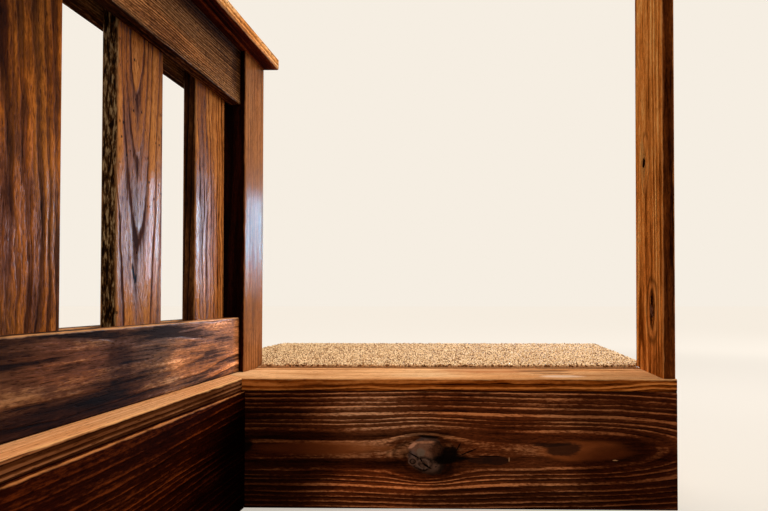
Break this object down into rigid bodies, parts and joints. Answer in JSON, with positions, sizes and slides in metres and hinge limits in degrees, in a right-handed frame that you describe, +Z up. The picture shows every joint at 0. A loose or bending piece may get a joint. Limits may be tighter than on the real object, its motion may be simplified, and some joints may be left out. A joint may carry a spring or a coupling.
{
  "type": "loft entry step with guard rail",
  "caption": "Stained timber loft entry: a step riser and mitred cap on a short carpeted deck edge, with a slatted guard rail on its ledge and a flat wall post.",
  "frame": {"origin": "middle of the footprint, on the floor that the step rises from", "axes": "+Z up; +X across the entry, from the guard to the wall; +Y from the step into the loft"},
  "size_m": [0.795, 1.568, 1.034],
  "materials": {
    "stained_wood": "dark walnut stain over strong open grain and small knots, satin",
    "framing_wood": "raw softwood, sawn",
    "plywood": "raw softwood plywood",
    "carpet": "short tufted pile, flecked beige"
  },
  "bodies": {
    "root": {"riser_board": "stained_wood", "riser_cap": "stained_wood", "wall_post": "stained_wood", "corner_newel": "stained_wood", "end_newel": "stained_wood", "cap_rail": "stained_wood", "top_rail_inner": "stained_wood", "top_rail_outer": "stained_wood", "bottom_rail_inner": "stained_wood", "bottom_rail_outer": "stained_wood", "slat_1": "stained_wood", "slat_2": "stained_wood", "slat_3": "stained_wood", "slat_4": "stained_wood", "slat_5": "stained_wood", "slat_6": "stained_wood", "ledge_cap": "stained_wood", "ledge_fascia": "stained_wood", "outer_fascia": "stained_wood", "end_fascia": "stained_wood", "front_rim": "framing_wood", "back_rim": "framing_wood", "left_rim": "framing_wood", "right_rim": "framing_wood", "mid_joist": "framing_wood", "ledge_joist_inner": "framing_wood", "ledge_joist_outer": "framing_wood", "ledge_blocks": "framing_wood", "deck_panel": "plywood", "carpet": "carpet"}
  },
  "joints": []
}
